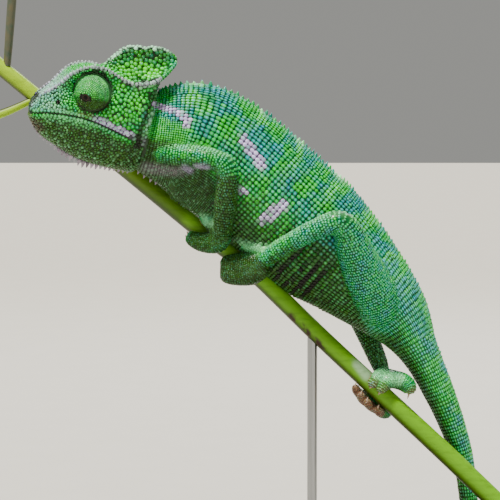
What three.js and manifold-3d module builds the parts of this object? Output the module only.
// A life-size standing model of an Indian chameleon climbing up a slanting green stem,
// held by a plain display stand. Units are millimetres, +Z is up. The head points to -X, the
// left side of the animal faces -Y. The origin is the middle of the underside of the stand's
// base; the animal is drawn round a middle point that lies MIDDLE_HEIGHT above it.
//
// Body, neck and tail are lengths of one loft, so neighbours share an outline and stand GAP apart.
// Limbs, hands and feet are lofts that are cut by the solid they grow from or grip.

import * as THREE from 'three';
import { LoftGeometry } from 'three/addons/geometries/LoftGeometry.js';
import { mergeVertices } from 'three/addons/utils/BufferGeometryUtils.js';
import Module from 'manifold-3d';

const wasm = await Module();
wasm.setup();

// ---------------------------------------------------------------- driving dimensions

const GAP = 0.3; // between neighbouring solids
const MIDDLE_HEIGHT = 126; // from the floor to the middle point of the animal

const BASE_LENGTH = 156;
const BASE_WIDTH = 92;
const BASE_THICKNESS = 9;
const BASE_CORNER = 14;
const BASE_EDGE = 1.2;
const ROD_RADIUS = 1.6;
const ROD_SOCKET = 5; // depth of the blind hole that a rod stands in
const ROD_PLACES = { stand_rod_high: 20, stand_rod_low: 76 }; // along X

// The perch: x, y, z and radius of the stem at its bends, from the upper cut end to the lower.
const STEM = [
  [-84, 6.9, 61.6, 2.55],
  [-68.8, 6.6, 49.0, 2.6],
  [-37.8, 5.6, 24.3, 3.05],
  [-16, 2.6, 6.5, 3.05],
  [0, 0.8, -6.1, 2.9],
  [25.6, -0.8, -30.7, 2.95],
  [60.8, -2.4, -63.4, 3.1],
  [85, -3.2, -86.6, 3.15],
];
const STEM_SIDES = 10;
const STEM_STEPS = 18;
const SHOOT = [
  [-70.5, 5.6, 47.6, 1.1],
  [-77, 4.6, 44.6, 1.3],
  [-84, 3.4, 42.0, 1.5],
];
const LEAF = [
  [-78.0, 6.0, 58.8, 1.2],
  [-77.2, 5.4, 68, 1.4],
  [-76.0, 4.6, 82, 1.5],
];

// The animal's long axis: x, y, z, half height, half width and how much the back narrows to a keel.
const BODY = [
  [-38.8, -6.0, 39.8, 11.4, 7.0, 0.1],
  [-31.2, -4.6, 37.6, 13.8, 7.8, 0.2],
  [-18.2, -2.4, 35.0, 18.9, 9.4, 0.3],
  [-5.4, -0.9, 27.2, 19.6, 10.4, 0.35],
  [9.0, -0.2, 14.6, 19.8, 10.8, 0.35],
  [21.4, 0, 3.2, 19.6, 10.2, 0.35],
  [32.8, 0, -6.6, 16.4, 8.8, 0.3],
  [46.2, 0.2, -19.9, 11.4, 7.4, 0.25],
  [54.2, 0.8, -32.4, 6.6, 5.3, 0.15],
  [61.2, 2.2, -46.7, 5.0, 4.3, 0.1],
  [66.4, 4.4, -59.8, 4.1, 3.6, 0.05],
  [69.5, 5.6, -70.6, 3.4, 3.1, 0.05],
  [71.9, 5.8, -90.5, 2.9, 2.7, 0],
];
const NECK_END = 1.35;
const TRUNK_END = 5.6;
const HIPS_END = 7.75;
const TAIL_CUTS = [7.75, 9.1, 10.6, 12];
const BODY_SIDES = 18;

// The end of the tail is a flat curl that winds in towards the belly.
const CURL_TOP_RADIUS = 11.6;
const CURL_END_RADIUS = 2.7;
const CURL_TURNS = 1.72;
const CURL_THICKNESS = [2.85, 0.7]; // tail radius at the start and the end of the curl
const CURL_CUTS = [0, 0.5, 1.1, CURL_TURNS];
const CURL_SIDES = 8;

// The head's own axes: F runs forward from the corner of the mouth, U up, S out to the left.
const HEAD_ORIGIN = [-40.3, -6.8, 37.1];
const HEAD_PITCH = 14; // degrees that the line of the mouth rises towards the snout
const HEAD_YAW = 17; // degrees that the snout turns to the animal's left
const HEAD_ROLL = 2; // degrees that the crown leans to the left
// Stations of the head: F, throat, mouth line, brow ridge, crown, then half widths at the mouth
// line, the cheek, the eye socket and the brow ridge.
const HEAD = [
  [31.4, -0.4, 0.3, 3.2, 3.2, 1.8, 2.0, 1.8, 1.5],
  [30.9, -1.4, 0.4, 4.9, 4.9, 3.3, 3.5, 3.1, 2.6],
  [29.2, -3.6, 0.9, 7.6, 7.3, 4.6, 4.9, 4.3, 3.8],
  [26.0, -6.2, 1.8, 10.9, 10.5, 5.9, 6.4, 5.3, 5.2],
  [22.0, -7.8, 2.4, 16.4, 15.8, 6.9, 7.8, 5.9, 6.6],
  [17.2, -9.5, 2.7, 19.3, 18.9, 7.8, 8.8, 6.0, 7.2],
  [12.0, -10.8, 2.4, 19.7, 20.6, 8.4, 9.4, 6.6, 7.4],
  [6.5, -11.3, 1.4, 17.8, 27.3, 8.7, 9.8, 8.6, 7.6],
  [0.5, -11.4, 0.2, 16.9, 28.9, 8.8, 9.9, 9.2, 7.8],
  [-5.6, -11.2, 0, 19.8, 29.8, 7.4, 8.4, 7.8, 7.0],
];
// Stations of the casque's overhang: F, underside, side rim, crest, half width of the rim.
const CASQUE = [
  [2.0, 13.6, 16.8, 28.3, 7.8],
  [-3.0, 15.0, 18.4, 29.8, 7.6],
  [-6.8, 18.6, 21.4, 29.7, 6.2],
  [-9.4, 22.4, 24.2, 28.9, 3.8],
  [-11.2, 26.0, 26.6, 27.6, 1.0],
];
const HEAD_STEPS = 14;
const CASQUE_STEPS = 6;
const EYE_PLACE = [14.6, 6.2, 11.3]; // F, S, U of the middle of the turret
const EYE_RADIUS = 5.7;
const EYE_LOOK = [0.5, 0.82, -0.34]; // F, S, U that the turret's tip points along
const TURRET_TIP = 1.5; // how far the tip stands out of the ball
const EYEBALL_RADIUS = 2.3;
const EYEBALL_DEPTH = 5.0; // from the middle of the turret

// Cones of the crests: how far apart, how high, how wide.
const BACK_CREST = { pitch: 3.0, height: 1.1, width: 2.0, from: 1.0, to: 10.2 };
const BELLY_CREST = { pitch: 3.2, height: 0.9, width: 1.6, from: 1.0, to: 1.85 };
const THROAT_CREST = { pitch: 2.6, height: 1.9, width: 1.6, from: 28, to: -4 };

// Limbs: x, y, z and radius along each bone.
const LIMBS = {
  left_upper_arm: [
    [-29, -7.5, 31.6, 3.9],
    [-25.5, -9.8, 31, 3.9],
    [-15, -12.8, 30.2, 3.5],
    [-8.2, -13.8, 28.2, 3.5],
  ],
  left_forearm: [
    [-7.2, -13.8, 26.6, 3.4],
    [-7.4, -12.4, 20, 3.7],
    [-8.2, -10, 12.6, 3.4],
    [-9.4, -7.2, 6.8, 2.9],
  ],
  left_hand_outer: [
    [-6.6, -6.4, 5.2, 2.6],
    [-10.4, -5.2, 2.6, 3],
    [-15.6, -3.2, 2.6, 2.8],
    [-20.4, -0.6, 4.8, 2],
  ],
  left_hand_inner: [
    [-10.2, -6.6, 6.6, 2],
    [-12.6, -5.2, 9, 2.2],
    [-14.6, -0.4, 9.6, 1.9],
    [-16.8, 5.8, 7.6, 1.6],
  ],
  left_thigh: [
    [42, -4.4, -18, 7.4],
    [38.6, -6.6, -11, 7.2],
    [34, -10.4, -1, 6],
    [30.8, -13.4, 7, 4.5],
  ],
  left_shin: [
    [29.6, -13.7, 8.8, 4.1],
    [20, -13.4, 7, 3.5],
    [11.4, -11, 2.2, 3.25],
    [4.4, -7.8, -2.5, 3],
  ],
  left_foot_outer: [
    [4.8, -7, -3.8, 3.6],
    [0.4, -6.2, -5.6, 4.4],
    [-4.8, -4.8, -6, 4.6],
    [-9.6, -3, -5.6, 3.9],
  ],
  left_foot_inner: [
    [3.6, -7.2, -0.6, 2.2],
    [0.2, -5.4, 0.6, 2.3],
    [-2.6, 0.4, 1.2, 2.2],
    [-5, 5.4, -1.6, 1.8],
  ],
  right_upper_arm: [
    [-27, 1.6, 31.6, 3.7],
    [-29.4, 6.2, 31.6, 3.3],
    [-33, 10.1, 31, 2.9],
    [-37, 12.2, 30.1, 2.9],
  ],
  right_forearm: [
    [-37.4, 12.4, 30.2, 2.8],
    [-40.6, 12.2, 32.1, 2.9],
    [-44.4, 10.9, 34.5, 2.7],
    [-47.2, 9.5, 36.1, 2.3],
  ],
  right_hand_outer: [
    [-47.2, 9.8, 36.0, 2.0],
    [-50.4, 10.2, 35.0, 2.3],
    [-53.4, 9.6, 33.4, 2.0],
    [-55.6, 7.6, 33.0, 1.2],
  ],
  right_hand_inner: [
    [-48.0, 8.4, 37.6, 1.8],
    [-50.0, 5.0, 38.0, 1.9],
    [-51.4, 1.9, 35.6, 1.5],
    [-52.2, 1.7, 33.0, 1.1],
  ],
  right_thigh: [
    [42.6, 4.4, -18.4, 6.6],
    [38.8, 8, -15.8, 5.6],
    [34.6, 10.8, -13.8, 4.4],
    [32.6, 12, -13.6, 3.3],
  ],
  right_shin: [
    [32.8, 12, -15.2, 3.4],
    [34.8, 10.8, -21, 3.5],
    [38.5, 7.9, -29.5, 3.4],
    [41.3, 5, -37.4, 3.1],
  ],
  right_foot_outer: [
    [42.6, 2.6, -38.6, 2.9],
    [43.4, -2.2, -40.4, 3.4],
    [47.4, -3.4, -41.9, 3.2],
    [51, -3.4, -45.4, 2.8],
  ],
  right_foot_inner: [
    [42, 5, -42, 2.8],
    [42.4, 3.8, -47.8, 2.8],
    [40.4, -2.8, -50, 2.9],
    [35, -4.8, -46.2, 2.6],
  ],
};
const LIMB_SIDES = 8;
const LIMB_STEPS = 6;
const TOE_LIFT = 0.22; // how much a bundle of toes swells and narrows where the toes part
const CLAW = { length: 1.9, radius: 0.55 };

// ---------------------------------------------------------------- shapes

/** Smooth (Catmull-Rom) value of every column of a table at station t. */
function rowAt(rows, t) {
  const last = rows.length - 1;
  const index = Math.min(Math.floor(t), last - 1);
  const u = t - index;
  const a = rows[Math.max(index - 1, 0)];
  const b = rows[index];
  const c = rows[index + 1];
  const d = rows[Math.min(index + 2, last)];
  return b.map((value, k) => {
    const square = 2 * a[k] - 5 * value + 4 * c[k] - d[k];
    const cube = 3 * value - a[k] - 3 * c[k] + d[k];
    return 0.5 * (2 * value + (c[k] - a[k]) * u + square * u * u + cube * u * u * u);
  });
}

/** The whole axis of the animal: the BODY table, then the curl, as rows of the same columns. */
function bodyRow(t) {
  const straight = BODY.length - 1;
  if (t <= straight) {
    return rowAt(BODY, t);
  }
  const start = BODY[straight];
  const turn = t - straight;
  const share = turn / CURL_TURNS;
  const radius = CURL_TOP_RADIUS * (CURL_END_RADIUS / CURL_TOP_RADIUS) ** share;
  const angle = 2 * Math.PI * turn;
  const thick = THREE.MathUtils.lerp(CURL_THICKNESS[0], CURL_THICKNESS[1], share);
  const middle = [start[0] - CURL_TOP_RADIUS, start[2]];
  const x = middle[0] + radius * Math.cos(angle);
  const z = middle[1] - radius * Math.sin(angle);
  return [x, start[1], z, thick, thick * 0.93, 0];
}

/** A closed ring of points round one station of the animal's axis, grown outwards. */
function bodyRing(t, grow, sides) {
  const [x, y, z, halfHeight, halfWidth, keel] = bodyRow(t);
  const ends = [bodyRow(Math.max(t - 0.02, 0)), bodyRow(t + 0.02)];
  const [back, ahead] = ends.map(([ex, ey, ez]) => new THREE.Vector3(ex, ey, ez));
  const along = ahead.sub(back).normalize();
  const left = new THREE.Vector3(0, -1, 0);
  left.addScaledVector(along, -left.dot(along)).normalize();
  const up = new THREE.Vector3().crossVectors(left, along);
  const ring = [];
  for (let k = 0; k < sides; k += 1) {
    const angle = (2 * Math.PI * k) / sides;
    const rise = Math.cos(angle);
    const narrow = 1 - keel * Math.max(rise, 0) ** 2 - 0.5 * keel * Math.max(-rise, 0) ** 2;
    const point = new THREE.Vector3(x, y, z);
    point.addScaledVector(up, (halfHeight + grow) * rise);
    point.addScaledVector(left, (halfWidth + grow) * Math.sin(angle) * narrow);
    ring.push(point);
  }
  return ring;
}

/** A closed solid through a list of rings. */
function loft(rings) {
  return solid(new LoftGeometry(rings, { closed: true, capStart: true, capEnd: true }));
}

/** A manifold solid from a closed geometry. */
function solid(geometry) {
  const plain = geometry.index ? geometry.toNonIndexed() : geometry;
  plain.deleteAttribute('normal');
  plain.deleteAttribute('uv');
  const merged = mergeVertices(plain, 1e-4);
  const mesh = new wasm.Mesh({
    numProp: 3,
    vertProperties: new Float32Array(merged.attributes.position.array),
    triVerts: new Uint32Array(merged.index.array),
  });
  return new wasm.Manifold(mesh);
}

/** The largest separate piece of a solid. */
function largest(shape) {
  const pieces = shape.decompose();
  pieces.sort((a, b) => b.volume() - a.volume());
  return pieces[0];
}

/** A length of the body from station `from` to station `to`. */
function bodyLength(from, to, steps, grow = 0, sides = BODY_SIDES) {
  const rings = [];
  for (let k = 0; k <= steps; k += 1) {
    rings.push(bodyRing(THREE.MathUtils.lerp(from, to, k / steps), grow, sides));
  }
  return loft(rings);
}

/** How far apart in stations two rings stand so that they are `distance` millimetres apart. */
function stationsFor(t, distance) {
  const [x1, y1, z1] = bodyRow(t);
  const [x2, y2, z2] = bodyRow(t + 0.01);
  return (0.01 * distance) / Math.hypot(x2 - x1, y2 - y1, z2 - z1);
}

/** A round tube through a table of x, y, z and radius, grown outwards; its ends are domed. */
function tube(rows, sides, steps, { grow = 0, swell = 0, domed = false } = {}) {
  const rings = [];
  const last = rows.length - 1;
  for (let k = 0; k <= steps; k += 1) {
    const t = (last * k) / steps;
    const [x, y, z, radius] = rowAt(rows, t);
    const before = new THREE.Vector3(...rowAt(rows, Math.max(t - 0.02, 0)));
    const after = new THREE.Vector3(...rowAt(rows, Math.min(t + 0.02, last)));
    const along = after.sub(before).normalize();
    const left = new THREE.Vector3(0, -1, 0);
    if (Math.abs(along.y) > 0.9) {
      left.set(-1, 0, 0);
    }
    left.addScaledVector(along, -left.dot(along)).normalize();
    const up = new THREE.Vector3().crossVectors(left, along);
    const end = Math.abs((2 * k) / steps - 1);
    const dome = domed ? Math.sqrt(Math.max(1 - end ** 6, 0.18)) : 1;
    const wave = 1 + swell * Math.sin((Math.PI * k) / steps);
    const size = radius * dome * wave + grow;
    const ring = [];
    for (let s = 0; s < sides; s += 1) {
      const angle = (2 * Math.PI * s) / sides;
      const point = new THREE.Vector3(x, y, z);
      point.addScaledVector(up, size * Math.cos(angle));
      point.addScaledVector(left, size * Math.sin(angle));
      ring.push(point);
    }
    rings.push(ring);
  }
  return loft(rings);
}

/** A pointed cone with its foot sunk a little below `foot`, leaning along `direction`. */
function cone(foot, direction, height, radius, sides = 4) {
  const sink = 0.6;
  const geometry = new THREE.ConeGeometry(radius, height + sink, sides);
  const way = direction.clone().normalize();
  geometry.translate(0, (height + sink) / 2 - sink, 0);
  geometry.applyQuaternion(new THREE.Quaternion().setFromUnitVectors(new THREE.Vector3(0, 1, 0), way));
  geometry.translate(foot.x, foot.y, foot.z);
  return solid(geometry);
}

// ---------------------------------------------------------------- crests

/** Cones along the back (side +1) or the belly (side -1) between two stations. */
function bodyCrest(shape, crest, side, from, to) {
  let result = shape;
  let t = Math.max(from, crest.from) + stationsFor(from, crest.width);
  const end = Math.min(to, crest.to);
  while (t < end - stationsFor(t, crest.width)) {
    const ring = bodyRing(t, 0, 4);
    const [top, , bottom] = ring;
    const foot = side > 0 ? top : bottom;
    const out = new THREE.Vector3().subVectors(foot, side > 0 ? bottom : top);
    const fade = 1 - 0.5 * (t / crest.to) ** 2;
    result = result.add(cone(foot, out, crest.height * fade, crest.width * 0.5, 4));
    t += stationsFor(t, crest.pitch);
  }
  return result;
}

// ---------------------------------------------------------------- head

const headTurn = new THREE.Matrix4();
{
  const pitch = THREE.MathUtils.degToRad(HEAD_PITCH);
  const yaw = THREE.MathUtils.degToRad(HEAD_YAW);
  const roll = THREE.MathUtils.degToRad(HEAD_ROLL);
  const forward = new THREE.Vector3(-Math.cos(pitch), 0, Math.sin(pitch));
  const up = new THREE.Vector3(Math.sin(pitch), 0, Math.cos(pitch));
  const left = new THREE.Vector3(0, -1, 0);
  forward.applyAxisAngle(up, yaw);
  left.applyAxisAngle(up, yaw);
  up.applyAxisAngle(forward, -roll);
  left.applyAxisAngle(forward, -roll);
  headTurn.makeBasis(forward, left, up);
  headTurn.setPosition(...HEAD_ORIGIN);
}

/** A point of the head, from its own F, S and U. */
function headPoint(forward, left, up) {
  return new THREE.Vector3(forward, left, up).applyMatrix4(headTurn);
}

/** A ring of the head from the outline of its left half, listed from the bottom to the top. */
function headRing(forward, half, grow) {
  const mirrored = half.slice(1, -1).reverse().map(([s, u]) => [-s, u]);
  const outline = [...half, ...mirrored];
  const middle = (half[0][1] + half[half.length - 1][1]) / 2;
  return outline.map(([s, u]) => {
    const length = Math.hypot(s, u - middle);
    const scale = (length + grow) / length;
    return headPoint(forward, s * scale, middle + (u - middle) * scale);
  });
}

/** Left half of the head's section at one row of the HEAD table. */
function headOutline(row) {
  const [, throat, mouth, brow, crown, mouthWidth, cheekWidth, socketWidth, browWidth] = row;
  const jaw = mouth - throat;
  const face = brow - mouth;
  const rise = crown - brow;
  return [
    [0, throat],
    [mouthWidth * 0.5, throat + jaw * 0.1],
    [mouthWidth * 0.86, throat + jaw * 0.45],
    [mouthWidth, mouth - 0.5],
    [mouthWidth * 1.02, mouth + 0.5],
    [cheekWidth, mouth + face * 0.25],
    [socketWidth, mouth + face * 0.58],
    [browWidth * 0.97, brow - face * 0.12],
    [browWidth, brow],
    [browWidth * 0.7, brow + rise * 0.1 - 0.3],
    [browWidth * 0.3, brow + rise * 0.45 - 0.2],
    [browWidth * 0.1 + 0.2, crown - Math.max(rise, 0) * 0.15 - 0.1],
    [0, crown],
  ];
}

/** Left half of the overhanging casque's section at one row of the CASQUE table. */
function casqueOutline([, under, rim, crest, width]) {
  const rise = crest - rim;
  return [
    [0, under],
    [width * 0.6, under + (rim - under) * 0.35],
    [width * 0.97, rim - 0.5],
    [width, rim + 0.1],
    [width * 0.7, rim + rise * 0.1 + 0.1],
    [width * 0.3, rim + rise * 0.45],
    [width * 0.1 + 0.2, crest - rise * 0.15],
    [0, crest],
  ];
}

/** The whole head with its jaw closed, grown outwards. */
function wholeHead(grow) {
  const rings = [];
  const last = HEAD.length - 1;
  const steps = HEAD_STEPS;
  for (let k = 0; k <= steps; k += 1) {
    const row = rowAt(HEAD, (last * k) / steps);
    const push = k === 0 ? grow : 0;
    const pull = k === steps ? grow : 0;
    rings.push(headRing(row[0] + push - pull, headOutline(row), grow));
  }
  rings.reverse();
  const casqueRings = [];
  const casqueLast = CASQUE.length - 1;
  const casqueSteps = CASQUE_STEPS;
  for (let k = 0; k <= casqueSteps; k += 1) {
    const row = rowAt(CASQUE, (casqueLast * k) / casqueSteps);
    const pull = k === casqueSteps ? grow : 0;
    casqueRings.push(headRing(row[0] - pull, casqueOutline(row), grow));
  }
  casqueRings.reverse();
  return loft(rings).add(loft(casqueRings));
}

/** A block that holds all of the head below the line of the mouth, raised by `lift`. */
function belowMouth(lift) {
  const outline = new THREE.Shape();
  outline.moveTo(-9, -20);
  outline.lineTo(-9, -9 + lift);
  outline.lineTo(-3, -6 + lift);
  outline.lineTo(0, 0.2 + lift);
  const steps = 10;
  for (let k = 1; k <= steps; k += 1) {
    const row = rowAt(HEAD, (HEAD.length - 2) * (1 - k / steps));
    outline.lineTo(row[0], row[2] + lift);
  }
  outline.lineTo(40, 0.4 + lift);
  outline.lineTo(40, -20);
  outline.closePath();
  const geometry = new THREE.ExtrudeGeometry(outline, { depth: 40, bevelEnabled: false });
  geometry.translate(0, 0, -20);
  // The shape's plane is F-U and its depth is S, so the axes are put in that order.
  geometry.applyMatrix4(new THREE.Matrix4().makeBasis(
    new THREE.Vector3(1, 0, 0),
    new THREE.Vector3(0, 0, 1),
    new THREE.Vector3(0, -1, 0),
  ));
  geometry.applyMatrix4(headTurn);
  return solid(geometry);
}

/** Where the eye of one side (+1 left, -1 right) lies and looks. */
function eyeFrame(side) {
  const [forward, left, up] = EYE_PLACE;
  const middle = headPoint(forward, side * left, up);
  const [lookForward, lookLeft, lookUp] = EYE_LOOK;
  const tip = headPoint(forward + lookForward, side * (left + lookLeft), up + lookUp);
  return { middle, look: tip.sub(middle).normalize() };
}

/** The turret of fused lids: a ball drawn out to a blunt tip where it looks. */
function turret({ middle, look }, grow) {
  const radius = EYE_RADIUS + grow;
  const profile = [];
  const steps = 8;
  for (let k = 0; k <= steps; k += 1) {
    const angle = (Math.PI * k) / steps;
    const tip = TURRET_TIP * Math.max(Math.cos(angle), 0) ** 8;
    const out = Math.sin(angle) * radius;
    profile.push(new THREE.Vector2(k === 0 || k === steps ? 0 : out, Math.cos(angle) * radius + tip));
  }
  const geometry = new THREE.LatheGeometry(profile.reverse(), 14);
  geometry.applyQuaternion(new THREE.Quaternion().setFromUnitVectors(new THREE.Vector3(0, 1, 0), look));
  geometry.translate(middle.x, middle.y, middle.z);
  return solid(geometry);
}

function eyeball({ middle, look }, grow) {
  const geometry = new THREE.SphereGeometry(EYEBALL_RADIUS + grow, 10, 7);
  const place = middle.clone().addScaledVector(look, EYEBALL_DEPTH);
  geometry.translate(place.x, place.y, place.z);
  return solid(geometry);
}

function throatCrest(jaw) {
  let result = jaw;
  const { pitch, height, width, from, to } = THROAT_CREST;
  const last = HEAD.length - 1;
  for (let forward = from; forward > to; forward -= pitch) {
    let t = 0;
    while (t < last && rowAt(HEAD, t)[0] > forward) {
      t += 0.02;
    }
    const throat = rowAt(HEAD, t)[1];
    const foot = headPoint(forward, 0, throat);
    const direction = headPoint(forward + 0.25, 0, throat - 1).sub(foot);
    const fade = 0.5 + 0.5 * Math.sin(Math.PI * Math.min((from - forward) / (from - to) + 0.2, 1));
    result = result.add(cone(foot, direction, height * fade, width / 2, 4));
  }
  return result;
}

// ---------------------------------------------------------------- the perch and the stand

function stem(grow) {
  return tube(STEM, STEM_SIDES, STEM_STEPS, { grow });
}

function base() {
  const outline = new THREE.Shape();
  const x = BASE_LENGTH / 2 - BASE_CORNER;
  const y = BASE_WIDTH / 2 - BASE_CORNER;
  outline.absarc(x, y, BASE_CORNER - BASE_EDGE, 0, Math.PI / 2);
  outline.absarc(-x, y, BASE_CORNER - BASE_EDGE, Math.PI / 2, Math.PI);
  outline.absarc(-x, -y, BASE_CORNER - BASE_EDGE, Math.PI, 1.5 * Math.PI);
  outline.absarc(x, -y, BASE_CORNER - BASE_EDGE, 1.5 * Math.PI, 2 * Math.PI);
  outline.closePath();
  const geometry = new THREE.ExtrudeGeometry(outline, {
    depth: BASE_THICKNESS - 2 * BASE_EDGE,
    bevelThickness: BASE_EDGE,
    bevelSize: BASE_EDGE,
    bevelSegments: 1,
    curveSegments: 3,
  });
  geometry.translate(0, 0, BASE_EDGE - MIDDLE_HEIGHT);
  return solid(geometry);
}

/** Height and depth of the stem's middle at a place along X. */
function stemAt(x) {
  let t = 0;
  while (rowAt(STEM, t)[0] < x) {
    t += 0.01;
  }
  const [, y, z] = rowAt(STEM, t);
  return { y, z };
}

/** An upright rod from inside the base to the middle of the stem. */
function rod(x, grow) {
  const { y, z } = stemAt(x);
  const foot = BASE_THICKNESS - ROD_SOCKET - MIDDLE_HEIGHT - grow;
  const geometry = new THREE.CylinderGeometry(ROD_RADIUS + grow, ROD_RADIUS + grow, z - foot, 12);
  geometry.rotateX(Math.PI / 2);
  geometry.translate(x, y, (z + foot) / 2);
  return solid(geometry);
}

// ---------------------------------------------------------------- assembly

const model = new THREE.Group();
model.position.z = MIDDLE_HEIGHT;

function addMesh(name, shape, look) {
  const data = shape.getMesh();
  const geometry = new THREE.BufferGeometry();
  geometry.setAttribute('position', new THREE.BufferAttribute(new Float32Array(data.vertProperties), 3));
  geometry.setIndex(new THREE.BufferAttribute(new Uint32Array(data.triVerts), 1));
  geometry.computeVertexNormals();
  const mesh = new THREE.Mesh(geometry, new THREE.MeshStandardMaterial(look));
  mesh.name = name;
  model.add(mesh);
}

const GREEN_SKIN = { color: 0x2f9e4a, roughness: 0.55, metalness: 0 };
const OLIVE_SKIN = { color: 0x4a6b22, roughness: 0.6, metalness: 0 };
const TURRET_SKIN = { color: 0x2e8f45, roughness: 0.5, metalness: 0 };
const EYE_GLOSS = { color: 0x17120d, roughness: 0.1, metalness: 0 };
const GREEN_STEM = { color: 0x8cb81a, roughness: 0.45, metalness: 0 };
const DARK_LEAF = { color: 0x1d4a52, roughness: 0.5, metalness: 0 };
const BASE_PAINT = { color: 0x2b2b2d, roughness: 0.55, metalness: 0 };
const ROD_STEEL = { color: 0x9a9ca0, roughness: 0.3, metalness: 1 };

const cutStem = stem(GAP);
const rods = Object.entries(ROD_PLACES);
let standBase = base();
for (const [name, x] of rods) {
  standBase = standBase.subtract(rod(x, GAP));
  addMesh(name, largest(rod(x, 0).subtract(cutStem)), ROD_STEEL);
}
addMesh('stand_base', standBase, BASE_PAINT);
addMesh('perch_stem', stem(0), GREEN_STEM);
addMesh('perch_side_shoot', largest(tube(SHOOT, 8, 5).subtract(cutStem)), GREEN_STEM);
addMesh('perch_leaf', largest(tube(LEAF, 8, 5).subtract(cutStem)), DARK_LEAF);

// Head: the turrets sit in sockets, the mouth is a thin cut.
const skull = wholeHead(0);
const skullRoom = wholeHead(GAP);
const eyes = { left: eyeFrame(1), right: eyeFrame(-1) };
let head = skull.subtract(belowMouth(GAP / 2));
let jaw = largest(skull.intersect(belowMouth(-GAP / 2)));
for (const [side, frame] of Object.entries(eyes)) {
  head = head.subtract(turret(frame, GAP));
  jaw = jaw.subtract(turret(frame, GAP));
  addMesh(`${side}_eye_turret`, largest(turret(frame, 0).subtract(eyeball(frame, GAP))), TURRET_SKIN);
  addMesh(`${side}_eyeball`, eyeball(frame, 0), EYE_GLOSS);
}
addMesh('head', largest(head), GREEN_SKIN);
addMesh('lower_jaw', largest(throatCrest(jaw)), OLIVE_SKIN);

// Neck, trunk, hips and tail are lengths of one loft.
function bodyPart(from, to, steps, sides = BODY_SIDES) {
  const start = from === 0 ? 0 : from + stationsFor(from, GAP / 2);
  let shape = bodyLength(start, to - stationsFor(to, GAP / 2), steps, 0, sides);
  shape = bodyCrest(shape, BACK_CREST, 1, start, to);
  return bodyCrest(shape, BELLY_CREST, -1, start, to).subtract(cutStem);
}

addMesh('neck', largest(bodyPart(0, NECK_END, 4).subtract(skullRoom)), GREEN_SKIN);
addMesh('trunk', largest(bodyPart(NECK_END, TRUNK_END, 11).subtract(skullRoom)), GREEN_SKIN);
addMesh('hips', largest(bodyPart(TRUNK_END, HIPS_END, 6)), GREEN_SKIN);
TAIL_CUTS.slice(0, -1).forEach((from, k) => {
  addMesh(`tail_${k + 1}`, largest(bodyPart(from, TAIL_CUTS[k + 1], 4, 12)), GREEN_SKIN);
});
CURL_CUTS.slice(0, -1).forEach((from, k) => {
  const start = BODY.length - 1;
  const shape = bodyPart(start + from, start + CURL_CUTS[k + 1], 8, CURL_SIDES);
  addMesh(`tail_${TAIL_CUTS.length + k}`, largest(shape), GREEN_SKIN);
});

// Limbs: each bone is cut by the trunk, by the head, by the stem and by the bones before it.
const bodyRoom = bodyLength(0, BODY.length - 1, 30, GAP).add(skullRoom);
const CHAINS = [
  ['left_upper_arm', 'left_forearm', 'left_hand_outer', 'left_hand_inner'],
  ['right_upper_arm', 'right_forearm', 'right_hand_outer', 'right_hand_inner'],
  ['left_thigh', 'left_shin', 'left_foot_outer', 'left_foot_inner'],
  ['right_thigh', 'right_shin', 'right_foot_outer', 'right_foot_inner'],
];

/** Two or three claws at the end of a bundle of toes. */
function withClaws(name, shape) {
  const rows = LIMBS[name];
  const count = name.includes('hand') === name.includes('inner') ? 3 : 2;
  const tip = new THREE.Vector3(...rows[3]);
  const along = tip.clone().sub(new THREE.Vector3(...rows[2])).normalize();
  const across = new THREE.Vector3(0, 0, 1).cross(along).normalize();
  const spread = new THREE.Vector3().crossVectors(along, across);
  let result = shape;
  for (let k = 0; k < count; k += 1) {
    const offset = (k - (count - 1) / 2) * rows[3][3] * 0.8;
    const foot = tip.clone().addScaledVector(spread, offset).addScaledVector(along, -0.3);
    result = result.add(cone(foot, along, CLAW.length, CLAW.radius));
  }
  return result;
}

for (const chain of CHAINS) {
  let taken = bodyRoom.add(cutStem);
  for (const name of chain) {
    const isFoot = name.includes('hand') || name.includes('foot');
    const options = { domed: true, swell: isFoot ? TOE_LIFT * 0.3 : 0 };
    let shape = tube(LIMBS[name], LIMB_SIDES, LIMB_STEPS, options);
    if (isFoot) {
      shape = withClaws(name, shape);
    }
    const look = isFoot ? OLIVE_SKIN : GREEN_SKIN;
    addMesh(name, largest(shape.subtract(taken)), look);
    taken = taken.add(tube(LIMBS[name], LIMB_SIDES, LIMB_STEPS, { ...options, grow: GAP }));
  }
}

export default model;
